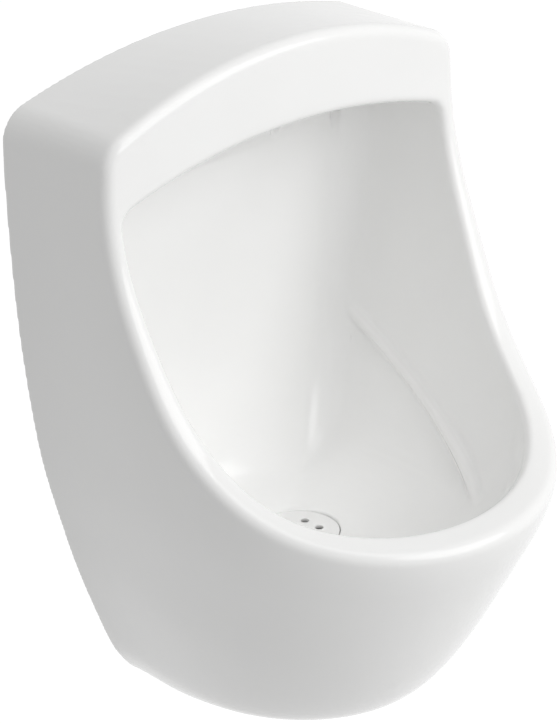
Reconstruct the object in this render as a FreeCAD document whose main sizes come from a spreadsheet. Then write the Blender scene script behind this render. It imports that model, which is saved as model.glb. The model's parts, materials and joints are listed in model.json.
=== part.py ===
"""Wall-hung urinal in glazed ceramic, with its concealed flush inlet, waste, trap and wall hooks.

X runs to the right as the user faces it, +Y into the wall, Z up. The wall is the plane Y = 0.
Heights in the sheet are measured from the flat underside and depths from the wall towards the user.
The origin is the centre of the four hook screws on the wall.
"""
import FreeCAD, Part
import math
import os
import Sketcher
from FreeCAD import Placement, Rotation, Vector

# Driving dimensions, in millimetres: alias and value.
SIZES = (
    # Ceramic outside
    ("width", 370),
    ("projection", 338),
    ("front_height", 557),
    ("top_rise", 15),
    ("shoulder_drop", 44),
    ("shoulder_round", 28),
    ("foot_round", 5),
    ("lip_height", 227),
    ("band_depth", 113),
    ("band_height", 69),
    ("rim_width", 21),
    ("rim_round", 9),
    ("wall", 12),
    # Bowl
    ("bowl_back_depth", 26),
    ("bowl_corner_round", 40),
    ("opening_drop", 32),
    ("opening_corner_round", 14),
    ("rib_radius", 6),
    ("opening_edge_round", 6),
    ("cove_round", 75),
    ("cove_bite", 3),
    ("floor_height", 154),
    ("drain_depth", 126),
    # Flush duct and inlet
    ("duct_side_wall", 40),
    ("duct_wall", 10),
    ("duct_back_wall", 14),
    ("port_radius", 4.5),
    ("port_depth", 20),
    ("port_margin", 11),
    ("port_rake", 14),
    ("inlet_pipe_radius", 10.65),
    ("inlet_pipe_bore", 8),
    ("inlet_pipe_inside", 40),
    ("inlet_pipe_reach", 18),
    ("bead_height", 1),
    ("bead_width", 3),
    ("seal_thickness", 3.2),
    ("seal_flange_width", 5),
    ("seal_flange_thickness", 3),
    # Hollow back
    ("hollow_height", 186),
    ("recess_drop", 43),
    ("recess_depth", 60),
    # Waste fitting
    ("boss_radius", 40),
    ("boss_thickness", 24),
    ("waste_thread_radius", 23.9),
    ("waste_bore", 20.9),
    ("waste_flange_radius", 30),
    ("waste_flange_thickness", 3),
    ("waste_recess_depth", 9),
    ("waste_recess_gap", 2.5),
    ("waste_length", 43.5),
    ("washer_thickness", 2.5),
    ("backnut_radius", 34),
    ("backnut_height", 9),
    # Strainer
    ("strainer_radius", 31.8),
    ("strainer_thickness", 3),
    ("strainer_collar", 8),
    ("strainer_wall", 1.2),
    ("strainer_hole_radius", 3.5),
    ("strainer_ring_radius", 16),
    # Trap
    ("tube_radius", 16),
    ("tube_wall", 2),
    ("bend_radius", 33),
    ("bend_height", 86),
    ("elbow_radius", 24),
    ("collar_radius", 23),
    ("collar_height", 4),
    ("arm_collar_radius", 20),
    ("sleeve_radius", 20.5),
    ("sleeve_height", 12),
    ("arm_height", 137),
    ("nut_wall", 5),
    ("nut_height", 20),
    ("nut_lip", 3.5),
    ("nut_rib", 1.5),
    ("stub_height", 13),
    ("plug_radius", 8.4),
    ("plug_length", 12),
    ("plug_head_radius", 11),
    ("plug_head_height", 5),
    ("plug_boss_radius", 12.5),
    ("plug_boss_height", 4),
    ("plug_seal_thickness", 2),
    ("arm_reach", 50),
    ("rosette_radius", 34),
    ("rosette_height", 6),
    ("rosette_sheet", 1.2),
    # Wall hooks
    ("hook_spacing", 200),
    ("hook_width", 50),
    ("hook_sheet", 3),
    ("hook_trough", 6),
    ("hook_tongue", 10),
    ("hook_drop", 134),
    ("hook_screw_spacing", 22),
    ("hook_plate_margin", 10),
    ("pocket_depth", 14),
    ("pocket_margin", 6),
    ("screw_radius", 3),
    ("screw_reach", 50),
    ("screw_neck_radius", 3.3),
    ("screw_head_radius", 5.8),
    ("screw_head_height", 3.5),
    ("screw_washer_radius", 7.5),
    ("screw_washer_thickness", 1.2),
    # Clearances
    ("slip_clearance", 0.4),
    ("running_clearance", 0.06),
    ("overrun", 20),
)

# Dimensions that follow from others: the top falls towards the wall and the sides, hooks and recess
# hang from it, and duct and ports follow the width.
DERIVED_SIZES = (
    ("back_height", "front_height - top_rise"),
    ("shoulder_height", "front_height - shoulder_drop"),
    ("hook_screw_height", "front_height - hook_drop"),
    ("recess_height", "hook_screw_height - recess_drop"),
    ("duct_half_width", "width / 2 - duct_side_wall"),
    ("port_spacing", "(duct_half_width - port_margin) / 2"),
)

# Outside of the ceramic at rising heights: shares of the back height, half width and projection.
OUTER_HEIGHT_SHARES = (0.0, 0.0074, 0.0185, 0.037, 0.06, 0.095, 0.145, 0.22, 0.31, 0.40,
                       0.49, 0.60, 0.72, 0.84, 0.96, 1.08)
OUTER_WIDTH_SHARES = (0.281, 0.346, 0.384, 0.427, 0.471, 0.52, 0.582, 0.669, 0.756, 0.834,
                      0.887, 0.935, 0.970, 0.992, 1.0, 1.0)
OUTER_DEPTH_SHARES = (0.237, 0.315, 0.40, 0.534, 0.645, 0.722, 0.788, 0.86, 0.935, 0.996,
                      1.0, 1.0, 1.0, 1.0, 1.0, 1.0)
# Growth in width from the wall to where the front rounds off, at the same heights.
FLARE_SHARES = (1.0, 1.0, 1.01, 1.02, 1.025, 1.03, 1.034, 1.035, 1.035, 1.035,
                1.035, 1.03, 1.015, 0.99, 0.95, 0.92)
# How far the hollow under the bowl lies inside and above the outside, in walls.
INSET_DRAW_SHARES = (0.2, 0.3, 0.4, 0.5, 0.65, 0.8, 0.9, 1.0, 1.0, 1.0, 1.0, 1.0, 1.0, 1.0, 1.0, 1.0)
INSET_RISE_SHARES = (1.0, 1.0, 1.0, 1.0, 0.9, 0.7, 0.5, 0.35, 0.25, 0.2, 0.1, 0.0, 0.0, 0.0, 0.0, 0.0)
# Where along the projection the straight sides end.
SIDE_END_SHARE = 0.53

# Band and rim seen from the side: shares of the way from band to lip, and of the height from lip to band.
RIM_SHARES = ((0.0, 1.45), (0.0, 1.30), (0.0, 1.15), (0.0, 1.0), (0.045, 0.77), (0.160, 0.524),
              (0.292, 0.321), (0.465, 0.175), (0.69, 0.067), (1.0, 0.004), (1.15, 0.0))

# Inside of the bowl from the drain upwards, as shares of the free height above the drain,
# of the clear half width, and of the depth between drain and back or front of the bowl.
BOWL_HEIGHT_SHARES = (0.0, 0.023, 0.075, 0.16, 0.28, 0.39, 0.51, 0.605, 0.70, 0.79, 0.89, 0.995, 1.10)
BOWL_WIDTH_SHARES = (0.17, 0.42, 0.635, 0.775, 0.87, 0.913, 0.945, 0.964, 0.979, 0.99, 0.996, 1.0, 1.0)
BOWL_BACK_SHARES = (0.33, 0.56, 0.77, 0.90, 0.97, 0.99, 1.0, 1.0, 1.0, 1.0, 1.0, 1.0, 1.0)
BOWL_FRONT_SHARES = (0.28, 0.48, 0.70, 0.88, 0.98, 1.0, 1.0, 1.0, 1.0, 1.0, 1.0, 1.0, 1.0)
BOWL_CORNER_SHARES = (0.2, 0.3, 0.6, 0.9, 1.0, 1.0, 1.0, 1.0, 1.0, 1.0, 1.0, 1.0, 1.0)
# How far the underside of the bowl lies outside and below the inside, in walls.
SKIN_GROW_SHARES = (0.3, 0.4, 0.6, 0.85, 1.0, 1.0, 1.0, 1.0, 1.0, 1.0, 1.0, 1.0, 1.0)
SKIN_DROP_SHARES = (1.0, 1.0, 0.85, 0.6, 0.3, 0.15, 0.0, 0.0, 0.0, 0.0, 0.0, 0.0, 0.0)

# Splash rib along the side of the bowl, an arc from the back corner down to the floor in front, both
# ends sunk in the wall: shares of the clear half width, of the projection and of the opening's height.
RIB_SHARES = ((0.860, 0.0888, 0.5714), (0.8537, 0.3698, 0.4612), (0.4756, 0.7396, 0.3714))

ROUND_STEPS = 8
EDGE_STEPS = 24
CORNER_STEPS = 3
NUT_RIBS = 12
STRAINER_HOLES = 6
PORT_PLACES = (-2, -1, 0, 1, 2)


class Size:
    """A length of the sheet, or a sum of such lengths, with the expression that gives it."""

    def __init__(self, value, text):
        self.value = value
        self.text = text

    def __add__(self, other):
        return Size(self.value + other.value, "(%s + %s)" % (self.text, other.text))

    def __sub__(self, other):
        return Size(self.value - other.value, "(%s - %s)" % (self.text, other.text))

    def __mul__(self, share):
        return Size(self.value * share, "(%s * %r)" % (self.text, share))


doc = FreeCAD.newDocument("urinal")
sheet = doc.addObject("Spreadsheet::Sheet", "dims")
entries = [(alias, str(value)) for alias, value in SIZES]
entries += [(alias, "=" + formula) for alias, formula in DERIVED_SIZES]
for row, (alias, content) in enumerate(entries, start=1):
    sheet.set("A%d" % row, alias)
    sheet.set("B%d" % row, content)
    sheet.setAlias("B%d" % row, alias)
doc.recompute()

ZERO = Size(0, "0")


def size(alias):
    """The sheet's length of that name, for sketches and primitives."""
    return Size(sheet.get(alias), "dims." + alias)


def mm(alias):
    """The sheet's length of that name as a plain number."""
    return float(sheet.get(alias))


def bind(thing, **lengths):
    """Tie the named properties of an object to the sheet."""
    for name, length in lengths.items():
        thing.setExpression(name, length.text)


def put(thing, right=ZERO, depth=ZERO, height=ZERO, turn=Rotation()):
    """Place an object by its depth from the wall and its height above the underside."""
    thing.Placement = Placement(Vector(), turn)
    thing.setExpression("Placement.Base.x", right.text)
    thing.setExpression("Placement.Base.y", "-" + depth.text)
    thing.setExpression("Placement.Base.z", "%s - dims.hook_screw_height" % height.text)
    return thing


# Turn that lays an upright piece along +Y, into the wall.
INTO_WALL = Rotation(Vector(1, 0, 0), -90)
# Turn that stands an upright piece out from the wall, towards the user.
OUT_OF_WALL = Rotation(Vector(1, 0, 0), 90)


# Ceramic outside


def run_lengths(points):
    """Distance along a run of points, as a share of the whole."""
    steps = [0.0]
    for a, b in zip(points, points[1:]):
        steps.append(steps[-1] + a.distanceToPoint(b))
    return [step / steps[-1] for step in steps]


def smooth_edge(points, steps):
    """Smooth edge through the points. Sections with the same steps match in a loft."""
    curve = Part.BSplineCurve()
    curve.interpolate(Points=points, Parameters=steps)
    return curve.toShape()


def closed_section(points, steps):
    """Smooth outline through the points, closed by a straight back."""
    curve = smooth_edge(points, steps)
    back = Part.LineSegment(points[-1], points[0]).toShape()
    return Part.Wire([curve, back])


def closed_loft(sections):
    """Smooth solid through plan outlines, which all share the widest one's spacing."""
    steps = run_lengths(sections[-1])
    return Part.makeLoft([closed_section(points, steps) for points in sections], True, False)


def outer_section(height, half, flared, depth, back):
    """Closed plan outline: straight back on the wall, near-straight sides, elliptical front."""
    side_end = depth * SIDE_END_SHARE
    points = [Vector(-half, -back, height), Vector(-(half + flared) / 2, -(back + side_end) / 2, height)]
    for step in range(ROUND_STEPS + 1):
        angle = math.pi * step / ROUND_STEPS
        away = side_end + (depth - side_end) * math.sin(angle)
        points.append(Vector(-flared * math.cos(angle), -away, height))
    points.append(Vector((half + flared) / 2, -(back + side_end) / 2, height))
    points.append(Vector(half, -back, height))
    return points


def outer_blank(inset, back):
    """The outside form as a solid, or the same form drawn in by a wall."""
    sections = []
    rows = zip(OUTER_HEIGHT_SHARES, OUTER_WIDTH_SHARES, OUTER_DEPTH_SHARES, FLARE_SHARES,
               INSET_DRAW_SHARES, INSET_RISE_SHARES)
    for height_share, width_share, depth_share, flare, draw, rise in rows:
        half = width_share * mm("width") / 2
        height = height_share * mm("back_height") + inset * rise
        depth = depth_share * mm("projection") - inset * draw
        sections.append(outer_section(height, half - inset * draw, half * flare - inset * draw, depth, back))
    return closed_loft(sections)


def block(half, near, far, low, high):
    """Box across the part from one depth to another and one height to another."""
    return Part.makeBox(2 * half, far - near, high - low, Vector(-half, -far, low))


def arch_edge(half, end_height, crown, depth):
    ends = [Vector(-half, -depth, end_height), Vector(half, -depth, end_height)]
    return Part.Arc(ends[0], Vector(0, -depth, crown), ends[1]).toShape()


def above_arch(half, end_height, crown, depth, top):
    """Closed outline of what lies above an arch, in a plane parallel to the wall."""
    arch = arch_edge(half, end_height, crown, depth)
    corners = [Vector(half, -depth, end_height), Vector(half, -depth, top)]
    corners += [Vector(-half, -depth, top), Vector(-half, -depth, end_height)]
    sides = [Part.LineSegment(a, b).toShape() for a, b in zip(corners, corners[1:])]
    return Part.Wire([arch] + sides)


def above_top():
    """What is cut off above the arched top, which rises towards the band."""
    half = mm("width") / 2 + mm("overrun")
    drop_share = (half / (mm("width") / 2)) ** 2
    top = mm("front_height") + mm("overrun") + mm("wall")
    rise = mm("front_height") - mm("back_height")
    stretch_share = mm("overrun") / mm("band_depth")
    wires = []
    for depth, crown in ((-mm("overrun"), mm("back_height") - rise * stretch_share),
                         (mm("band_depth") + mm("overrun"), mm("front_height") + rise * stretch_share)):
        end = crown - (crown - mm("shoulder_height")) * drop_share
        wires.append(above_arch(half, end, crown, depth, top))
    return Part.makeLoft(wires, True, True)


def opening_top():
    return mm("front_height") - mm("band_height")


def ahead_of_rim():
    """What is cut away in front of the band and the sweeping rim."""
    rim_start = opening_top() - mm("rim_round")
    reach = mm("projection") - mm("band_depth")
    rise = rim_start - mm("lip_height")
    points = []
    for depth_share, height_share in RIM_SHARES:
        depth = mm("band_depth") + reach * depth_share
        points.append(Vector(0, -depth, mm("lip_height") + rise * height_share))
    sweep = smooth_edge(points, run_lengths(points))
    front = Vector(0, -(mm("projection") + 2 * mm("overrun")), mm("lip_height"))
    top = points[0].z + mm("front_height")
    corners = [points[-1], front, Vector(0, front.y, top), Vector(0, points[0].y, top), points[0]]
    sides = [Part.LineSegment(a, b).toShape() for a, b in zip(corners, corners[1:])]
    face = Part.Face(Part.Wire([sweep] + sides))
    half = mm("width") / 2 + mm("overrun")
    face.translate(Vector(-half, 0, 0))
    return face.extrude(Vector(2 * half, 0, 0))


# Ceramic inside


def bowl_section(height, half, back, front, corner):
    """Closed plan outline: flat back with rounded corners, straight sides, elliptical front."""
    side_end = back + (front - back) * SIDE_END_SHARE
    left = []
    for step in range(CORNER_STEPS + 1):
        angle = math.pi / 2 * step / CORNER_STEPS
        left.append((half - corner + corner * math.sin(angle), back + corner - corner * math.cos(angle)))
    round_front = []
    for step in range(ROUND_STEPS + 1):
        angle = math.pi * step / ROUND_STEPS
        round_front.append((half * math.cos(angle), side_end + (front - side_end) * math.sin(angle)))
    plan = [(-x, y) for x, y in left] + [(-x, y) for x, y in round_front] + list(reversed(left))
    points = [Vector(x, -depth, height) for x, depth in plan]
    return points


def bowl_form(skin):
    """The hollow of the bowl, or with a skin the same form grown by that much."""
    sections = []
    clear_half = mm("width") / 2 - mm("rim_width")
    free_height = opening_top() - mm("floor_height")
    to_back = mm("drain_depth") - mm("bowl_back_depth")
    to_front = mm("projection") - mm("rim_width") - mm("drain_depth")
    rows = zip(BOWL_HEIGHT_SHARES, BOWL_WIDTH_SHARES, BOWL_BACK_SHARES, BOWL_FRONT_SHARES,
               BOWL_CORNER_SHARES, SKIN_GROW_SHARES, SKIN_DROP_SHARES)
    for height_share, width_share, back_share, front_share, corner_share, grow, drop in rows:
        height = mm("floor_height") + free_height * height_share - skin * drop
        out = skin * grow
        back = mm("drain_depth") - to_back * back_share - out
        front = mm("drain_depth") + to_front * front_share + out
        corner = mm("bowl_corner_round") * corner_share + out
        sections.append(bowl_section(height, clear_half * width_share + out, back, front, corner))
    return closed_loft(sections)


def ceiling():
    """What stays solid above the arched top of the opening."""
    half = mm("width") / 2
    crown = opening_top()
    outline = above_arch(half, crown - mm("opening_drop"), crown, 0, mm("front_height") + 2 * mm("overrun"))
    return Part.Face(outline).extrude(Vector(0, -2 * mm("projection"), 0))


def cove():
    """What stays solid in the hollow curve between the back of the bowl and its ceiling."""
    reach = mm("cove_round")
    middle_depth = mm("bowl_back_depth") + reach - mm("cove_bite")
    middle_height = opening_top() - reach
    half = mm("width") / 2
    low = middle_height
    corner = block(half, 0, middle_depth, low, mm("front_height"))
    rod = Part.makeCylinder(reach, 2 * half, Vector(-half, -middle_depth, middle_height), Vector(1, 0, 0))
    return corner.cut(rod)


def edge_box(edge):
    """Tight box round an edge."""
    box = FreeCAD.BoundBox()
    for point in edge.discretize(EDGE_STEPS):
        box.add(point)
    return box


def round_edges(solid, radius, test):
    """Fillet the edges whose box passes the test."""
    edges = [edge for edge in solid.Edges if test(edge_box(edge))]
    return solid.makeFillet(radius, edges)


def trimmed(solid, *tools):
    """The one solid that is left when the tools are cut away."""
    for tool in tools:
        solid = solid.cut(tool)
    return max(solid.Solids, key=lambda piece: piece.Volume)


def splash_rib(side):
    """Round bead half sunk in the wall of the bowl, on the left (-1) or right (1)."""
    clear_half = mm("width") / 2 - mm("rim_width")
    points = []
    for width_share, depth_share, height_share in RIB_SHARES:
        points.append(Vector(side * clear_half * width_share, -mm("projection") * depth_share,
                             opening_top() * height_share))
    path = Part.Arc(*points).toShape()
    section = Part.makeCircle(mm("rib_radius"), points[0], path.tangentAt(path.FirstParameter))
    return Part.Wire([path]).makePipeShell([Part.Wire([section])], True, False)


def bowl_hollow():
    """What the bowl leaves open, with the top corners of its opening rounded and its ribs left in."""
    hollow = trimmed(bowl_form(0), ceiling(), cove())
    high = opening_top() - mm("opening_drop")

    def at_ceiling_side(box):
        return box.ZMin > high and box.XLength > mm("band_depth") and box.YLength > mm("band_depth")

    hollow = round_edges(hollow, mm("opening_corner_round"), at_ceiling_side)
    return trimmed(hollow, splash_rib(-1), splash_rib(1))


def rounded_outside():
    """Outside form with its shoulders, foot and rim rounded."""
    solid = trimmed(outer_blank(0, 0), above_top(), ahead_of_rim())
    half = mm("width") / 2

    def at_shoulder(box):
        at_side = abs(box.Center.x) > half - mm("shoulder_round")
        return at_side and box.ZMin > opening_top() and box.YLength > mm("band_depth") / 2

    def at_foot(box):
        return box.ZMax < mm("wall") and box.YLength > mm("band_depth") / 2

    def at_rim(box):
        at_front = box.YMax < -mm("band_depth") + mm("rim_round") / 2
        return at_front and box.ZMin > mm("lip_height") - mm("wall") and box.ZLength > mm("wall")

    solid = round_edges(solid, mm("shoulder_round"), at_shoulder)
    solid = round_edges(solid, mm("foot_round"), at_foot)
    return round_edges(solid, mm("rim_round"), at_rim)


def under_hollow():
    """Space behind and under the bowl, open to the wall, that takes the trap."""
    space = outer_blank(mm("wall"), -mm("overrun"))
    half = mm("width") / 2 + mm("overrun")
    under = block(half, -2 * mm("overrun"), mm("projection"), 0, mm("hollow_height"))
    behind = block(half, -2 * mm("overrun"), mm("recess_depth"), 0, mm("recess_height"))
    space = space.common(under.fuse(behind))
    return space.cut(bowl_form(mm("wall"))).cut(drain_boss())


def drain_axis(radius, low, high):
    """Upright cylinder on the axis of the drain."""
    return Part.makeCylinder(radius, high - low, Vector(0, -mm("drain_depth"), low))


def drain_boss():
    floor = mm("floor_height")
    return drain_axis(mm("boss_radius"), floor - mm("boss_thickness"), floor + mm("wall"))


def waste_seat():
    """Height of the ledge that the waste fitting sits on."""
    return mm("floor_height") - mm("waste_recess_depth")


def drain_bore():
    floor = mm("floor_height")
    clear = mm("waste_thread_radius") + mm("slip_clearance")
    bore = drain_axis(clear, floor - 2 * mm("boss_thickness"), floor)
    recess = mm("waste_flange_radius") + mm("waste_recess_gap")
    return bore.fuse(drain_axis(recess, waste_seat(), opening_top()))


def duct():
    """Closed water channel behind the band, between the arch of the top and that of the opening."""
    half = mm("duct_half_width")
    share = (half / (mm("width") / 2)) ** 2
    low_crown = opening_top() + mm("duct_wall")
    low_end = low_crown - mm("opening_drop") * share
    high_crown = mm("back_height") - mm("duct_wall")
    high_end = high_crown - (mm("back_height") - mm("shoulder_height")) * share
    back = mm("duct_back_wall")
    low = arch_edge(half, low_end, low_crown, back)
    high = arch_edge(half, high_end, high_crown, back)
    ends = [Part.LineSegment(Vector(x, -back, low_end), Vector(x, -back, high_end)).toShape()
            for x in (-half, half)]
    face = Part.Face(Part.Wire(Part.sortEdges([low, high] + ends)[0]))
    return face.extrude(Vector(0, back - mm("band_depth") + mm("wall"), 0))


def inlet_height():
    """Height of the flush inlet, in the middle of the duct."""
    return (opening_top() + mm("back_height")) / 2


def inlet_bore():
    clear = mm("inlet_pipe_radius") + mm("seal_thickness")
    start = Vector(0, mm("overrun"), inlet_height())
    bore = Part.makeCylinder(clear, mm("overrun") + mm("duct_back_wall") * 2, start, Vector(0, -1, 0))
    seat = Part.makeCylinder(clear + mm("seal_flange_width"), mm("overrun") + mm("seal_flange_thickness"),
                             start, Vector(0, -1, 0))
    return bore.fuse(seat)


def wash_ports():
    """Raked ports from the duct to the top of the bowl's back."""
    ports = []
    for number in PORT_PLACES:
        right = number * mm("port_spacing")
        sag = mm("opening_drop") * (right / (mm("width") / 2)) ** 2
        start = Vector(right, -mm("port_depth"), opening_top() + mm("duct_wall") * 1.5 - sag)
        rake = Vector(0, -mm("port_rake"), -mm("cove_round"))
        ports.append(Part.makeCylinder(mm("port_radius"), rake.Length, start, rake))
    return ports


def plate_reach():
    """From the middle of the hook screws to the upper or lower edge of the hook's plate."""
    return mm("hook_screw_spacing") / 2 + mm("hook_plate_margin")


def shelf_height():
    """Top of the hook's trough, on which the ceramic hangs."""
    return mm("hook_screw_height") + plate_reach() + mm("hook_sheet")


def hook_pocket(side):
    """Pocket in the back for one wall hook, with the lip that hangs in the hook's trough."""
    half = mm("hook_width") / 2 + mm("pocket_margin")
    low = mm("hook_screw_height") - plate_reach() - mm("pocket_margin")
    high = shelf_height() + mm("hook_tongue") + mm("pocket_margin")
    pocket = block(half, -mm("overrun"), mm("pocket_depth"), low, high)
    near = mm("hook_sheet") + mm("slip_clearance")
    far = mm("hook_sheet") + mm("hook_trough") - mm("slip_clearance")
    lip = block(half, near, far, shelf_height(), high)
    hollow = pocket.cut(lip)
    hollow.translate(Vector(side * mm("hook_spacing") / 2, 0, 0))
    return hollow


def ceramic():
    """The whole glazed shell."""
    body = trimmed(rounded_outside(), bowl_hollow())
    inner_half = mm("width") / 2 - mm("rim_width") + mm("rim_round") / 2

    def at_opening(box):
        ahead = box.YMax < -mm("band_depth") + mm("rim_round") / 2
        inside = box.XMax < inner_half and box.XMin > -inner_half
        above_lip = box.ZMin > mm("lip_height") - mm("wall")
        return ahead and inside and above_lip and box.ZMax < opening_top() + mm("rim_round") / 2

    body = round_edges(body, mm("opening_edge_round"), at_opening)
    pockets = (hook_pocket(-1), hook_pocket(1))
    return trimmed(body, under_hollow(), drain_bore(), duct(), inlet_bore(), *pockets, *wash_ports())


ceramic_body = doc.addObject("Part::Feature", "ceramic_body")
ceramic_body.Shape = ceramic()
put(ceramic_body)


# Makers of the fittings


def local(thing, depth=ZERO, height=ZERO, turn=Rotation()):
    """Place a primitive within its own piece, depth counted towards the wall."""
    thing.Placement = Placement(Vector(), turn)
    thing.setExpression("Placement.Base.y", depth.text)
    thing.setExpression("Placement.Base.z", height.text)
    return thing


def rod(name, radius, length):
    thing = doc.addObject("Part::Cylinder", name)
    bind(thing, Radius=radius, Height=length)
    return thing


def ring_part(name, bend, radius, sweep):
    """Part of a torus, for a bent tube."""
    thing = doc.addObject("Part::Torus", name)
    bind(thing, Radius1=bend, Radius2=radius)
    thing.Angle3 = sweep
    return thing


def joined(name, things):
    fuse = doc.addObject("Part::MultiFuse", name)
    fuse.Shapes = things
    return fuse


def cut_away(name, base, tool):
    cut = doc.addObject("Part::Cut", name)
    cut.Base = base
    cut.Tool = tool
    return cut


def plane_sketch(body, role):
    """Empty sketch on one of the body's own planes."""
    sketch = body.newObject("Sketcher::SketchObject", body.Name + "_sketch")
    plane = [item for item in body.Origin.OriginFeatures if item.Role == role][0]
    sketch.AttachmentSupport = [(plane, "")]
    sketch.MapMode = "FlatFace"
    return sketch


def pin_point(sketch, geometry, point, across, up):
    """Tie one point of a sketch to the sheet."""
    if across is ZERO:
        sketch.addConstraint(Sketcher.Constraint("PointOnObject", geometry, point, -2))
    else:
        rule = Sketcher.Constraint("DistanceX", -1, 1, geometry, point, across.value)
        sketch.setExpression("Constraints[%d]" % sketch.addConstraint(rule), across.text)
    if up is ZERO:
        sketch.addConstraint(Sketcher.Constraint("PointOnObject", geometry, point, -1))
    else:
        rule = Sketcher.Constraint("DistanceY", -1, 1, geometry, point, up.value)
        sketch.setExpression("Constraints[%d]" % sketch.addConstraint(rule), up.text)


def polygon(sketch, corners):
    """Closed run of lines through the corners, each tied to the sheet."""
    spots = [Vector(across.value, up.value, 0) for across, up in corners]
    for a, b in zip(spots, spots[1:] + spots[:1]):
        sketch.addGeometry(Part.LineSegment(a, b), False)
    count = len(spots)
    for number, (across, up) in enumerate(corners):
        sketch.addConstraint(Sketcher.Constraint("Coincident", number, 2, (number + 1) % count, 1))
        pin_point(sketch, number, 1, across, up)


def circle(sketch, radius, across, up):
    middle = Vector(across.value, up.value, 0)
    number = sketch.addGeometry(Part.Circle(middle, Vector(0, 0, 1), radius.value))
    rule = Sketcher.Constraint("Radius", number, radius.value)
    sketch.setExpression("Constraints[%d]" % sketch.addConstraint(rule), radius.text)
    pin_point(sketch, number, 3, across, up)


def turned(name, corners):
    """Body turned about its own upright axis from a closed profile."""
    body = doc.addObject("PartDesign::Body", name)
    sketch = plane_sketch(body, "XZ_Plane")
    polygon(sketch, corners)
    turn = body.newObject("PartDesign::Revolution", name + "_turn")
    turn.Profile = sketch
    turn.ReferenceAxis = (sketch, ["V_Axis"])
    turn.Angle = 360
    sketch.Visibility = False
    return body


def ring(name, inner, outer, height):
    """Plain flat ring."""
    return turned(name, [(inner, ZERO), (outer, ZERO), (outer, height), (inner, height)])


def repeated(body, feature, sketch, count):
    """Repeat a feature round the body's axis."""
    pattern = body.newObject("PartDesign::PolarPattern", body.Name + "_pattern")
    pattern.Originals = [feature]
    pattern.Axis = (sketch, ["N_Axis"])
    pattern.Angle = 360
    pattern.Occurrences = count
    body.Tip = pattern


def slip_nut(name, thread):
    """Ribbed hand nut with a thread of that radius above an inner lip."""
    bore = size("tube_radius") + size("slip_clearance")
    clear = thread + size("slip_clearance")
    outer = clear + size("nut_wall")
    lip = size("nut_lip")
    top = size("nut_height")
    body = turned(name, [(bore, ZERO), (outer, ZERO), (outer, top), (clear, top), (clear, lip), (bore, lip)])
    rib = size("nut_rib")
    sketch = plane_sketch(body, "XY_Plane")
    near = outer - rib
    far = outer + rib
    polygon(sketch, [(near, ZERO), (far, ZERO), (far, rib * 2), (near, rib * 2)])
    pad = body.newObject("PartDesign::Pad", name + "_rib")
    pad.Profile = sketch
    bind(pad, Length=top)
    repeated(body, pad, sketch, NUT_RIBS)
    return body


# Flush inlet

inlet_level = (size("front_height") - size("band_height") + size("back_height")) * 0.5
pipe_radius = size("inlet_pipe_radius")
pipe_bore = size("inlet_pipe_bore")
bead_low = size("inlet_pipe_inside")
bead_high = bead_low + size("bead_width")
pipe_end = bead_low + size("inlet_pipe_reach")
pipe_bead = pipe_radius + size("bead_height")
inlet_pipe = turned("inlet_pipe", [
    (pipe_bore, ZERO), (pipe_radius, ZERO), (pipe_radius, bead_low), (pipe_bead, bead_low),
    (pipe_bead, bead_high), (pipe_radius, bead_high), (pipe_radius, pipe_end), (pipe_bore, pipe_end)])
put(inlet_pipe, depth=bead_low, height=inlet_level, turn=INTO_WALL)

seal_inner = pipe_radius + size("running_clearance")
seal_outer = pipe_radius + size("seal_thickness") - size("running_clearance")
seal_rim = pipe_radius + size("seal_thickness") + size("seal_flange_width") - size("slip_clearance")
inlet_seal = turned("inlet_seal", [
    (seal_inner, ZERO), (seal_rim, ZERO), (seal_rim, size("seal_flange_thickness")),
    (seal_outer, size("seal_flange_thickness")), (seal_outer, size("duct_back_wall")),
    (seal_inner, size("duct_back_wall"))])
put(inlet_seal, height=inlet_level, turn=OUT_OF_WALL)

# Waste fitting, from the ledge in the bowl down

drain = size("drain_depth")
washer = size("washer_thickness")
seat = size("floor_height") - size("waste_recess_depth")
thread = size("waste_thread_radius")
thread_clear = thread + size("slip_clearance")
flange_top = seat + washer + size("waste_flange_thickness")
waste_low = seat + washer - size("waste_length")

waste_flange_seal = ring("waste_flange_seal", thread_clear, size("waste_flange_radius"), washer)
put(waste_flange_seal, depth=drain, height=seat)

waste_outlet = turned("waste_outlet", [
    (size("waste_bore"), ZERO), (thread, ZERO), (thread, size("waste_length")),
    (size("waste_flange_radius"), size("waste_length")),
    (size("waste_flange_radius"), size("waste_length") + size("waste_flange_thickness")),
    (size("waste_bore"), size("waste_length") + size("waste_flange_thickness"))])
put(waste_outlet, depth=drain, height=waste_low)

collar_outer = size("waste_bore") - size("running_clearance")
collar_inner = collar_outer - size("strainer_wall")
disc_top = size("strainer_collar") + size("strainer_thickness")
strainer = turned("strainer", [
    (ZERO, size("strainer_collar")), (collar_inner, size("strainer_collar")), (collar_inner, ZERO),
    (collar_outer, ZERO), (collar_outer, size("strainer_collar")),
    (size("strainer_radius"), size("strainer_collar")), (size("strainer_radius"), disc_top),
    (ZERO, disc_top)])
hole_sketch = plane_sketch(strainer, "XY_Plane")
circle(hole_sketch, size("strainer_hole_radius"), size("strainer_ring_radius"), ZERO)
hole = strainer.newObject("PartDesign::Pocket", "strainer_hole")
hole.Profile = hole_sketch
hole.Type = "ThroughAll"
hole.Reversed = True
repeated(strainer, hole, hole_sketch, STRAINER_HOLES)
put(strainer, depth=drain, height=flange_top - size("strainer_collar"), turn=Rotation(Vector(0, 0, 1), 30))

boss_low = size("floor_height") - size("boss_thickness")
waste_lower_washer = ring("waste_lower_washer", thread_clear, size("backnut_radius"), washer)
put(waste_lower_washer, depth=drain, height=boss_low - washer)

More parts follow.
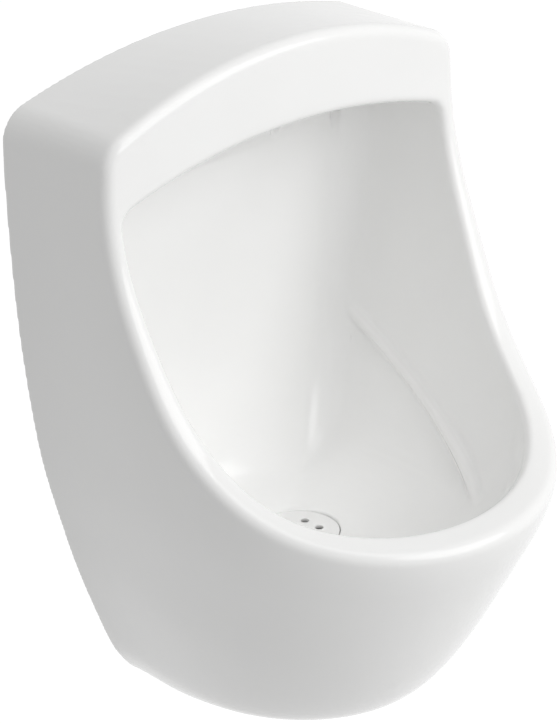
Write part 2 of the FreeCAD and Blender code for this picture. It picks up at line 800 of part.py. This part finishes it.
nut_blank = doc.addObject("Part::Prism", "nut_blank")
nut_blank.Polygon = 6
bind(nut_blank, Circumradius=size("backnut_radius"), Height=size("backnut_height"))
nut_bore = rod("nut_bore", thread_clear, size("backnut_height") + size("overrun"))
local(nut_bore, height=size("overrun") * -0.5)
waste_backnut = cut_away("waste_backnut", nut_blank, nut_bore)
put(waste_backnut, depth=drain, height=boss_low - washer - size("backnut_height"))

# Trap

tube = size("tube_radius")
tube_bore = tube - size("tube_wall")
collar_top = waste_low - washer
trap_inlet_washer = ring("trap_inlet_washer", tube_bore, size("collar_radius"), washer)
put(trap_inlet_washer, depth=drain, height=collar_top)
trap_inlet_nut = slip_nut("trap_inlet_nut", thread)
put(trap_inlet_nut, depth=drain, height=collar_top - size("collar_height") - size("nut_lip"))

legs = size("bend_radius") * 2
leg_height = collar_top - size("bend_height")
plug_low = size("bend_radius") + tube + size("plug_boss_height")
U_TURN = Rotation(Vector(0, 1, 0), Vector(0, 0, -1), Vector(-1, 0, 0), "XYZ")
bend_outside = joined("bend_outside", [
    rod("bend_inlet_leg", tube, leg_height),
    local(rod("bend_collar", size("collar_radius"), size("collar_height")),
          height=leg_height - size("collar_height")),
    local(ring_part("bend_turn", size("bend_radius"), tube, 180), depth=size("bend_radius"), turn=U_TURN),
    local(rod("bend_outlet_leg", tube, size("stub_height")), depth=legs),
    local(rod("bend_sleeve", size("sleeve_radius"), size("sleeve_height")), depth=legs,
          height=size("stub_height") - size("sleeve_height")),
    local(rod("bend_boss", size("plug_boss_radius"), tube), depth=size("bend_radius"),
          height=plug_low * -1)])
bend_inside = joined("bend_inside", [
    rod("bend_inlet_bore", tube_bore, leg_height + size("overrun")),
    local(ring_part("bend_turn_bore", size("bend_radius"), tube_bore, 180), depth=size("bend_radius"),
          turn=U_TURN),
    local(rod("bend_outlet_bore", tube_bore, size("stub_height") + size("overrun")), depth=legs),
    local(rod("bend_boss_bore", size("plug_radius") + size("slip_clearance"), tube + size("overrun")),
          depth=size("bend_radius"), height=plug_low * -1 - size("overrun"))])
trap_bend = cut_away("trap_bend", bend_outside, bend_inside)
put(trap_bend, depth=drain, height=size("bend_height"))

plug_seal_low = size("bend_height") - plug_low - size("plug_seal_thickness")
plug_clear = size("plug_radius") + size("slip_clearance")
trap_plug_seal = ring("trap_plug_seal", plug_clear, size("plug_head_radius"), size("plug_seal_thickness"))
put(trap_plug_seal, depth=drain - size("bend_radius"), height=plug_seal_low)
plug_head = doc.addObject("Part::Prism", "plug_head")
plug_head.Polygon = 6
bind(plug_head, Circumradius=size("plug_head_radius"), Height=size("plug_head_height"))
plug_shank = rod("plug_shank", size("plug_radius"), size("plug_length"))
local(plug_shank, height=size("plug_head_height"))
trap_plug = joined("trap_plug", [plug_head, plug_shank])
put(trap_plug, depth=drain - size("bend_radius"), height=plug_seal_low - size("plug_head_height"))

arm_depth = drain - legs
arm_low = size("bend_height") + size("stub_height") + washer
trap_union_washer = ring("trap_union_washer", tube_bore, size("arm_collar_radius"), washer)
put(trap_union_washer, depth=arm_depth, height=arm_low - washer)
trap_union_nut = slip_nut("trap_union_nut", size("sleeve_radius"))
put(trap_union_nut, depth=arm_depth, height=arm_low + size("collar_height") + size("nut_lip"),
    turn=Rotation(Vector(1, 0, 0), 180))

rise = size("arm_height") - size("elbow_radius") - arm_low
run = arm_depth - size("elbow_radius") + size("arm_reach")
QUARTER_TURN = Rotation(Vector(0, -1, 0), Vector(0, 0, 1), Vector(-1, 0, 0), "XYZ")
arm_outside = joined("arm_outside", [
    rod("arm_stub", tube, rise),
    rod("arm_collar", size("arm_collar_radius"), size("collar_height")),
    local(ring_part("arm_elbow", size("elbow_radius"), tube, 90), depth=size("elbow_radius"), height=rise,
          turn=QUARTER_TURN),
    local(rod("arm_run", tube, run), depth=size("elbow_radius"), height=rise + size("elbow_radius"),
          turn=INTO_WALL),
    local(rod("arm_bead", tube + size("bead_height"), size("bead_width")), depth=arm_depth,
          height=rise + size("elbow_radius"), turn=INTO_WALL)])
arm_inside = joined("arm_inside", [
    local(rod("arm_stub_bore", tube_bore, rise + size("overrun")), height=size("overrun") * -1),
    local(ring_part("arm_elbow_bore", size("elbow_radius"), tube_bore, 90), depth=size("elbow_radius"),
          height=rise, turn=QUARTER_TURN),
    local(rod("arm_run_bore", tube_bore, run + size("overrun")), depth=size("elbow_radius"),
          height=rise + size("elbow_radius"), turn=INTO_WALL)])
trap_arm = cut_away("trap_arm", arm_outside, arm_inside)
put(trap_arm, depth=arm_depth, height=arm_low)

sheet_thickness = size("rosette_sheet")
rosette_bore = tube + size("running_clearance")
arm_rosette = turned("arm_rosette", [
    (size("rosette_radius"), ZERO), (size("rosette_radius"), sheet_thickness),
    (rosette_bore + sheet_thickness, size("rosette_height")), (rosette_bore, size("rosette_height")),
    (rosette_bore, size("rosette_height") - sheet_thickness),
    (size("rosette_radius") - sheet_thickness * 2, ZERO)])
put(arm_rosette, height=size("arm_height"), turn=OUT_OF_WALL)

# Wall hooks with their screws

screw_gap = size("hook_screw_spacing")
plate_low = size("hook_screw_height") - screw_gap * 0.5 - size("hook_plate_margin")
shelf_top = screw_gap + size("hook_plate_margin") * 2 + size("hook_sheet")
shelf_low = shelf_top - size("hook_sheet")
tongue_near = size("hook_sheet") + size("hook_trough")
tongue_far = tongue_near + size("hook_sheet")
tongue_top = shelf_top + size("hook_tongue")
for name, side in (("left_hanger", -1), ("right_hanger", 1)):
    hanger = doc.addObject("PartDesign::Body", name)
    profile = plane_sketch(hanger, "YZ_Plane")
    polygon(profile, [(ZERO, ZERO), (size("hook_sheet"), ZERO), (size("hook_sheet"), shelf_low),
                      (tongue_far, shelf_low), (tongue_far, tongue_top), (tongue_near, tongue_top),
                      (tongue_near, shelf_top), (ZERO, shelf_top)])
    pad = hanger.newObject("PartDesign::Pad", name + "_pad")
    pad.Profile = profile
    bind(pad, Length=size("hook_width"))
    holes = plane_sketch(hanger, "XZ_Plane")
    hole_radius = size("screw_neck_radius") + size("slip_clearance")
    circle(holes, hole_radius, size("hook_width") * 0.5, size("hook_plate_margin"))
    circle(holes, hole_radius, size("hook_width") * 0.5, size("hook_plate_margin") + screw_gap)
    pocket = hanger.newObject("PartDesign::Pocket", name + "_holes")
    pocket.Profile = holes
    pocket.Type = "ThroughAll"
    put(hanger, right=size("hook_spacing") * (side * 0.5) + size("hook_width") * 0.5, height=plate_low,
        turn=Rotation(Vector(0, 0, 1), 180))

head_depth = size("hook_sheet") + size("screw_washer_thickness")
for number, (side, level) in enumerate(((-1, -1), (1, -1), (-1, 1), (1, 1)), start=1):
    right = size("hook_spacing") * (side * 0.5)
    height = size("hook_screw_height") + screw_gap * (level * 0.5)
    flat = ring("hanger_washer_%d" % number, size("screw_neck_radius") + size("slip_clearance"),
                size("screw_washer_radius"), size("screw_washer_thickness"))
    put(flat, right=right, depth=size("hook_sheet"), height=height, turn=OUT_OF_WALL)
    head = doc.addObject("Part::Prism", "screw_head_%d" % number)
    head.Polygon = 6
    bind(head, Circumradius=size("screw_head_radius"), Height=size("screw_head_height"))
    neck = rod("screw_neck_%d" % number, size("screw_neck_radius"), head_depth)
    local(neck, height=head_depth * -1)
    shank = rod("screw_shank_%d" % number, size("screw_radius"), head_depth + size("screw_reach"))
    local(shank, height=head_depth * -1 - size("screw_reach"))
    screw = joined("hanger_screw_%d" % number, [head, neck, shank])
    put(screw, right=right, depth=head_depth, height=height, turn=OUT_OF_WALL)

doc.recompute()

# Check every object, then write the pieces

inner_names = set()
for thing in doc.Objects:
    if "Invalid" in thing.State or "Error" in thing.State:
        raise SystemExit("%s did not build" % thing.Name)
    if thing.TypeId in ("Part::MultiFuse", "Part::Cut"):
        inner_names.update(item.Name for item in thing.OutList)
pieces = [thing for thing in doc.Objects if thing.TypeId == "PartDesign::Body"]
pieces += [thing for thing in doc.Objects
           if thing.TypeId.startswith("Part::") and thing.Name not in inner_names]
os.makedirs("parts", exist_ok=True)
for piece in pieces:
    shape = piece.Shape
    if shape.isNull() or not shape.isValid() or len(shape.Solids) != 1:
        raise SystemExit("%s is not one sound solid" % piece.Label)
    shape.exportStep("parts/%s.step" % piece.Label)
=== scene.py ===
"""Looks of the wall-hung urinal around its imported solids."""
import json
import math

import bpy
import numpy as np
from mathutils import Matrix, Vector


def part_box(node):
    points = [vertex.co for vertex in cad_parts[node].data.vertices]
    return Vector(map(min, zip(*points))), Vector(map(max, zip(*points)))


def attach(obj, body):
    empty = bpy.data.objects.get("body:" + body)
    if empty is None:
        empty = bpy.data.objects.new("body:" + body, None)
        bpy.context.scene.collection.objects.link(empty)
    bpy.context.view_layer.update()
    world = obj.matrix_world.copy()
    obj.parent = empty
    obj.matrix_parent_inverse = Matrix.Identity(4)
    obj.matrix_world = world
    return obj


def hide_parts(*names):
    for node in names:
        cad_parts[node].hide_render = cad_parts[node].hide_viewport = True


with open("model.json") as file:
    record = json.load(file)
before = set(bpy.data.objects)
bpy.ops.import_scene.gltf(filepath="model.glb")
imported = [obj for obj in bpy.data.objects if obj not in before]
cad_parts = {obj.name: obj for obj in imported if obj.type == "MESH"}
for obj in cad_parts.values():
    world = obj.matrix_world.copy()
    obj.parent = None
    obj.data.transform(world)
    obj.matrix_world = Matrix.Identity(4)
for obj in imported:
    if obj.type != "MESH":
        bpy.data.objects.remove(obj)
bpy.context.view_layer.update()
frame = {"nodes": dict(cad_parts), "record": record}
nodes = frame["nodes"]


# Camera at the photograph's viewing angle

IMAGE_HEIGHT_PX = 724
FOCAL_PX = 3757
SENSOR_MM = 36
CAMERA_PLACE = (-1.832, -2.0007, 1.092)
CAMERA_TILT = math.radians(65.1)
CAMERA_TURN = math.radians(-44)
VIEW_END = 50

bpy.ops.object.camera_add(location=CAMERA_PLACE, rotation=(CAMERA_TILT, 0, CAMERA_TURN))
camera = bpy.context.active_object
camera.name = "camera"
camera.data.sensor_width = SENSOR_MM
camera.data.lens = FOCAL_PX * SENSOR_MM / IMAGE_HEIGHT_PX
camera.data.clip_end = VIEW_END
bpy.context.scene.camera = camera


# Materials

# Noise value up to which a tint is all dark, and from which it is all light.
TINT_START = 0.3
TINT_END = 0.7
# Noise of a metal's clouds, detail of its grain, and its relief beside the grain.
METAL_CLOUDS = (70, 4)
GRAIN_DETAIL = 4
RELIEF_PER_GRAIN = 4
RELIEF_DETAIL = 2
METAL_DEPTH = (0.08, 0.0003)


def noise(tree, scale, detail):
    """Noise on the piece's own coordinates, scale in waves per metre."""
    node = tree.nodes.new("ShaderNodeTexNoise")
    node.inputs["Scale"].default_value = scale
    node.inputs["Detail"].default_value = detail
    place = tree.nodes.new("ShaderNodeTexCoord").outputs["Object"]
    tree.links.new(place, node.inputs["Vector"])
    return node.outputs["Fac"]


def between(tree, factor, low, high):
    """A number that follows the factor from low to high."""
    node = tree.nodes.new("ShaderNodeMapRange")
    node.inputs["To Min"].default_value = low
    node.inputs["To Max"].default_value = high
    tree.links.new(factor, node.inputs["Value"])
    return node.outputs["Result"]


def tint(tree, factor, dark, light):
    """A colour that follows the factor from dark to light."""
    ramp = tree.nodes.new("ShaderNodeValToRGB")
    start, end = ramp.color_ramp.elements
    start.position, start.color = TINT_START, (*dark, 1)
    end.position, end.color = TINT_END, (*light, 1)
    tree.links.new(factor, ramp.inputs["Fac"])
    return ramp.outputs["Color"]


def bump(tree, height, strength, distance):
    """A normal that follows the height."""
    node = tree.nodes.new("ShaderNodeBump")
    node.inputs["Strength"].default_value = strength
    node.inputs["Distance"].default_value = distance
    tree.links.new(height, node.inputs["Height"])
    return node.outputs["Normal"]


def finish(name, clouds, dark, light, gloss, rough, relief, depth, metallic=0):
    """Material whose colour, roughness and relief each follow a noise of their own.

    clouds, gloss and relief are a noise's waves per metre and detail. rough is the least and
    most roughness, and depth is the strength and height of the relief.
    """
    material = bpy.data.materials.new(name)
    material.use_nodes = True
    tree = material.node_tree
    shader = tree.nodes["Principled BSDF"]
    shader.inputs["Metallic"].default_value = metallic
    tree.links.new(tint(tree, noise(tree, *clouds), dark, light), shader.inputs["Base Color"])
    tree.links.new(between(tree, noise(tree, *gloss), *rough), shader.inputs["Roughness"])
    tree.links.new(bump(tree, noise(tree, *relief), *depth), shader.inputs["Normal"])
    return material


def metal(name, dark, light, rough, grain):
    """Metal with a fine turned or rolled grain, in waves per metre."""
    return finish(name, METAL_CLOUDS, dark, light, (grain, GRAIN_DETAIL), rough,
                  (grain * RELIEF_PER_GRAIN, RELIEF_DETAIL), METAL_DEPTH, metallic=1)


finishes = {
    # Fired glaze: an even colour with faint clouds, slow waves and a hard gloss.
    "ceramic": finish("white_glaze", clouds=(9, 2),
                      dark=(0.93, 0.93, 0.922), light=(0.945, 0.945, 0.938),
                      gloss=(60, 3), rough=(0.10, 0.17), relief=(45, 1), depth=(0.06, 0.001)),
    "white_plastic": finish("white_plastic", clouds=(25, 3),
                            dark=(0.90, 0.90, 0.892), light=(0.925, 0.925, 0.918),
                            gloss=(180, 4), rough=(0.28, 0.42),
                            relief=(1400, 2), depth=(0.05, 0.0004)),
    "rubber": finish("black_rubber", clouds=(120, 4),
                     dark=(0.018, 0.018, 0.018), light=(0.04, 0.04, 0.042),
                     gloss=(300, 3), rough=(0.6, 0.85), relief=(1800, 3), depth=(0.15, 0.0004)),
    "raw_brass": metal("turned_brass", dark=(0.60, 0.42, 0.17), light=(0.72, 0.53, 0.25),
                       rough=(0.22, 0.38), grain=160),
    "chromed_brass": metal("polished_plating", dark=(0.74, 0.75, 0.76), light=(0.80, 0.81, 0.82),
                           rough=(0.06, 0.13), grain=90),
    "zinc_steel": metal("zinc_plating", dark=(0.52, 0.53, 0.54), light=(0.66, 0.67, 0.68),
                        rough=(0.30, 0.48), grain=220),
}


def dress(piece, slot):
    """Give a piece the finish of a material slot."""
    piece.data.materials.clear()
    piece.data.materials.append(finishes[slot])


# Steps that the pieces share

# Points closer than this are one point, and edges shorter than the next are dropped.
JOIN_GAP = 0.00002
SLIVER = 0.00001
# Edges that turn by more than this are sharp.
SHARP_ANGLE = math.radians(35)


def pick(piece):
    """Make a piece the active one and the only one selected."""
    bpy.ops.object.select_all(action="DESELECT")
    piece.select_set(True)
    bpy.context.view_layer.objects.active = piece


def link_copy(name, mesh):
    """Add a piece with its own copy of a mesh, and pick it."""
    piece = bpy.data.objects.new(name, mesh.copy())
    bpy.context.scene.collection.objects.link(piece)
    pick(piece)
    return piece


def edit_all():
    """Enter edit mode with the whole active piece selected."""
    bpy.ops.object.mode_set(mode="EDIT")
    bpy.ops.mesh.select_all(action="SELECT")


def leave_edit():
    bpy.ops.object.mode_set(mode="OBJECT")


def work(piece, kind, **settings):
    """Add a modifier to the active piece, set it and apply it."""
    bpy.ops.object.modifier_add(type=kind)
    modifier = piece.modifiers[-1]
    for setting, value in settings.items():
        setattr(modifier, setting, value)
    bpy.ops.object.modifier_apply(modifier=modifier.name)


# Fittings

# Width and rounding of the broken edge on a fitting of each finish.
EDGE_WIDTHS = {"white_plastic": 0.0005, "rubber": 0.0004, "raw_brass": 0.0005,
               "chromed_brass": 0.0003, "zinc_steel": 0.0004}
EDGE_SEGMENTS = 2


def break_edges(piece, width):
    """Join a fitting's triangles, break its sharp edges and shade it evenly."""
    weld = piece.modifiers.new("joined", "WELD")
    weld.merge_threshold = JOIN_GAP
    bevel = piece.modifiers.new("broken_edges", "BEVEL")
    bevel.width = width
    bevel.segments = EDGE_SEGMENTS
    bevel.limit_method = "ANGLE"
    bevel.angle_limit = SHARP_ANGLE
    bevel.use_clamp_overlap = False
    piece.data.shade_smooth()
    piece.modifiers.new("even_shading", "WEIGHTED_NORMAL")


for subpart in frame["record"]["subparts"]:
    fitting, slot = nodes[subpart["node"]], subpart["material_slot"]
    dress(fitting, slot)
    if slot in EDGE_WIDTHS:
        break_edges(fitting, EDGE_WIDTHS[slot])


# Hook screws

SCREWS = 4
HEAD_SIDES = 6
HEAD_HEIGHT = 0.0035
HEAD_CHAMFER = 0.0006
CHAMFER_SEGMENTS = 2
NECK_RADIUS = 0.0033
# How far the neck reaches into the head.
NECK_SUNK = 0.0015
CORE_RADIUS = 0.0022
TIP_LENGTH = 0.009
# Radius of the tip's end as a share of the core's.
TIP_SHARE = 0.15
# Ridge of the thread: its section, where it starts and how it climbs.
RIDGE_SIDES = 3
RIDGE_RADIUS = 0.0007
RIDGE_MIDDLE = 0.0023
RIDGE_START = 0.002
THREAD_PITCH = 0.0026
THREAD_TURNS = 14
ROUND_STEPS = 24


def settle(name):
    """Name the piece that is active and put its place into its mesh."""
    piece = bpy.context.active_object
    piece.name = name
    bpy.ops.object.transform_apply()
    return piece


def edit_end(piece, depth):
    """Enter edit mode with only the end face at that depth selected."""
    bpy.ops.object.mode_set(mode="EDIT")
    bpy.ops.mesh.select_mode(type="FACE")
    bpy.ops.mesh.select_all(action="DESELECT")
    leave_edit()

    def miss(face):
        return abs(face.center.y - depth) + 1 - abs(face.normal.y)

    min(piece.data.polygons, key=miss).select = True
    bpy.ops.object.mode_set(mode="EDIT")


def screw_shank(neck, reach):
    """Plain neck up to the wall, then the core of the thread with its tapered tip."""
    bpy.ops.object.select_all(action="DESELECT")
    bpy.ops.mesh.primitive_cylinder_add(vertices=ROUND_STEPS, radius=NECK_RADIUS, depth=neck,
                                        location=(0, -neck / 2, 0), rotation=(math.pi / 2, 0, 0))
    shank = settle("screw_shank")
    edit_end(shank, 0)
    bpy.ops.mesh.inset(thickness=NECK_RADIUS - CORE_RADIUS)
    for length in (reach - TIP_LENGTH, TIP_LENGTH):
        bpy.ops.mesh.extrude_region_move(TRANSFORM_OT_translate={"value": (0, length, 0)})
    bpy.ops.transform.resize(value=(TIP_SHARE, 1, TIP_SHARE))
    leave_edit()
    return shank


def screw_head(front, corner):
    """Hexagon head with a chamfered face."""
    bpy.ops.object.select_all(action="DESELECT")
    bpy.ops.mesh.primitive_cylinder_add(vertices=HEAD_SIDES, radius=corner, depth=HEAD_HEIGHT,
                                        location=(0, front + HEAD_HEIGHT / 2, 0),
                                        rotation=(math.pi / 2, math.pi / HEAD_SIDES, 0))
    head = settle("screw_head")
    edit_end(head, front)
    bpy.ops.mesh.bevel(offset=HEAD_CHAMFER, segments=CHAMFER_SEGMENTS, affect="EDGES")
    leave_edit()
    return head


def screw_ridge():
    """Ridge of the thread, wound round the core."""
    bpy.ops.object.select_all(action="DESELECT")
    bpy.ops.mesh.primitive_circle_add(vertices=RIDGE_SIDES, radius=RIDGE_RADIUS,
                                      location=(RIDGE_MIDDLE, RIDGE_START, 0),
                                      rotation=(0, 0, -math.pi / 2))
    ridge = settle("screw_ridge")
    work(ridge, "SCREW", axis="Y", screw_offset=THREAD_PITCH, iterations=THREAD_TURNS,
         steps=ROUND_STEPS, render_steps=ROUND_STEPS)
    edit_all()
    bpy.ops.mesh.fill_holes(sides=RIDGE_SIDES)
    bpy.ops.mesh.normals_make_consistent(inside=False)
    leave_edit()
    return ridge


def unite(piece, other):
    """Make two closed pieces one."""
    pick(piece)
    work(piece, "BOOLEAN", operation="UNION", object=other)
    bpy.data.objects.remove(other)
    edit_all()
    bpy.ops.mesh.dissolve_degenerate(threshold=SLIVER)
    leave_edit()


low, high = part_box("hanger_screw_1")
pattern = screw_shank(NECK_SUNK - HEAD_HEIGHT - low[1], high[1])
unite(pattern, screw_ridge())
unite(pattern, screw_head(low[1], (high[0] - low[0]) / 2))
bpy.ops.object.shade_smooth_by_angle(angle=SHARP_ANGLE)
dress(pattern, "zinc_steel")
for number in range(1, SCREWS + 1):
    low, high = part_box("hanger_screw_%d" % number)
    screw = link_copy("threaded_screw", pattern.data)
    screw.location = ((low[0] + high[0]) / 2, 0, (low[2] + high[2]) / 2)
    settle("threaded_screw_%d" % number)
    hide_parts("hanger_screw_%d" % number)
    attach(screw, "urinal")
bpy.data.objects.remove(pattern)


# Ceramic shell

GLAZE_VOXEL = 0.0016
GLAZE_PASSES = 5
RIB_PASSES = 14
RIB_REACH = 0.016
PASS_STRENGTH = 0.5
# Start, middle and end of the right splash rib's arc.
RIB_ARC = ((0.141, -0.030, -0.144), (0.140, -0.125, -0.198), (0.078, -0.250, -0.242))
SHELL_TRIANGLES = 190000
TRIANGLES_PER_FACE = 2


def near_ribs(mesh):
    """Vertices within reach of either splash rib, on a mesh that is the same left and right."""
    places = np.empty(3 * len(mesh.vertices))
    mesh.vertices.foreach_get("co", places)
    places = places.reshape(-1, 3)
    places[:, 0] = abs(places[:, 0])
    start, middle, end = (np.array(point) for point in RIB_ARC)
    one, two = middle - start, end - start
    normal = np.cross(one, two)
    across = np.cross(normal, one) * two.dot(two) + np.cross(two, normal) * one.dot(one)
    centre = start + across / (2 * normal.dot(normal))
    axis = normal / np.linalg.norm(normal)
    away = places - centre
    rise = away @ axis
    radius = np.linalg.norm(start - centre)
    out = np.linalg.norm(away - np.outer(rise, axis), axis=1) - radius
    close = np.hypot(rise, out) < RIB_REACH
    low = np.minimum(start, end) - RIB_REACH
    high = np.maximum(start, middle) + RIB_REACH
    inside = np.all((places > np.minimum(low, middle)) & (places < high), axis=1)
    return np.nonzero(close & inside)[0].tolist()


def flow_glaze(piece):
    """Soften every edge and corner as the fired glaze does, on an even mesh."""
    piece.data.remesh_voxel_size = GLAZE_VOXEL
    piece.data.use_remesh_preserve_attributes = False
    bpy.ops.object.voxel_remesh()
    work(piece, "SMOOTH", factor=PASS_STRENGTH, iterations=GLAZE_PASSES)
    ribs = piece.vertex_groups.new(name="ribs")
    ribs.add(near_ribs(piece.data), 1.0, "REPLACE")
    work(piece, "SMOOTH", factor=PASS_STRENGTH, iterations=RIB_PASSES, vertex_group=ribs.name)
    piece.vertex_groups.clear()
    triangles = TRIANGLES_PER_FACE * len(piece.data.polygons)
    work(piece, "DECIMATE", ratio=min(1, SHELL_TRIANGLES / triangles))
    bpy.ops.object.shade_smooth()


shell = link_copy("glazed_shell", nodes["ceramic_body"].data)
edit_all()
bpy.ops.mesh.remove_doubles(threshold=JOIN_GAP)
leave_edit()
flow_glaze(shell)
dress(shell, "ceramic")
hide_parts("ceramic_body")
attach(shell, "urinal")


# Floor, world and studio lights

FLOOR_SIZE = 14
FLOOR_HEIGHT = -0.806
FLOOR_BOUNCE = (0.75, 0.75, 0.75, 1)
FLOOR_SEEN = (0.3, 0.3, 0.3, 1)
FLOOR_GLOW = 0.85
WORLD_LIGHT = 0.5
WORLD_COLOUR = (1, 1, 1, 1)
LAMP_AIM = (0, -0.15, 0)


def larger(tree, one, other):
    """The larger of two numbers."""
    node = tree.nodes.new("ShaderNodeMath")
    node.operation = "MAXIMUM"
    tree.links.new(one, node.inputs[0])
    tree.links.new(other, node.inputs[1])
    return node.outputs[0]


def show_apart(tree, output, lighting, seen):
    """One shader for light, and one for what the camera, a mirror or a clear piece sees."""
    path = tree.nodes.new("ShaderNodeLightPath").outputs
    direct = larger(tree, path["Is Camera Ray"], path["Is Glossy Ray"])
    choose = tree.nodes.new("ShaderNodeMixShader")
    tree.links.new(larger(tree, direct, path["Is Transmission Ray"]), choose.inputs["Fac"])
    tree.links.new(lighting.outputs[0], choose.inputs[1])
    tree.links.new(seen.outputs[0], choose.inputs[2])
    tree.links.new(choose.outputs[0], tree.nodes.new(output).inputs["Surface"])


def empty_tree(owner):
    """Node tree of a material or world, with nothing in it."""
    owner.use_nodes = True
    owner.node_tree.nodes.clear()
    return owner.node_tree


bpy.ops.object.select_all(action="DESELECT")
bpy.ops.mesh.primitive_plane_add(size=FLOOR_SIZE, location=(0, 0, FLOOR_HEIGHT))
floor = bpy.context.active_object
floor.name = "floor"
floor_material = bpy.data.materials.new("pale_floor")
tree = empty_tree(floor_material)
plain = tree.nodes.new("ShaderNodeBsdfDiffuse")
plain.inputs["Color"].default_value = FLOOR_BOUNCE
shaded = tree.nodes.new("ShaderNodeBsdfDiffuse")
shaded.inputs["Color"].default_value = FLOOR_SEEN
glow = tree.nodes.new("ShaderNodeEmission")
glow.inputs["Strength"].default_value = FLOOR_GLOW
both = tree.nodes.new("ShaderNodeAddShader")
tree.links.new(shaded.outputs[0], both.inputs[0])
tree.links.new(glow.outputs[0], both.inputs[1])
show_apart(tree, "ShaderNodeOutputMaterial", plain, both)
floor.data.materials.append(floor_material)

world = bpy.data.worlds.new("studio")
bpy.context.scene.world = world
tree = empty_tree(world)
soft = tree.nodes.new("ShaderNodeBackground")
white = tree.nodes.new("ShaderNodeBackground")
for background in (soft, white):
    background.inputs["Color"].default_value = WORLD_COLOUR
soft.inputs["Strength"].default_value = WORLD_LIGHT
show_apart(tree, "ShaderNodeOutputWorld", soft, white)


def softbox(name, place, size, watts):
    """Round lamp that faces the bowl."""
    bpy.ops.object.light_add(type="AREA", location=place)
    lamp = bpy.context.active_object
    lamp.name = name
    lamp.data.shape = "DISK"
    lamp.data.size = size
    lamp.data.energy = watts
    right, ahead, up = (aim - start for aim, start in zip(LAMP_AIM, place))
    yaw = math.atan2(-right, ahead)
    pitch = math.atan2(math.hypot(right, ahead), -up)
    lamp.rotation_euler = (pitch, 0, yaw)


softbox("key", place=(1.0, -2.5, 1.3), size=2.8, watts=41.5)
softbox("top", place=(0.3, -1.0, 2.2), size=1.6, watts=7)

bpy.context.scene.view_settings.view_transform = "Standard"
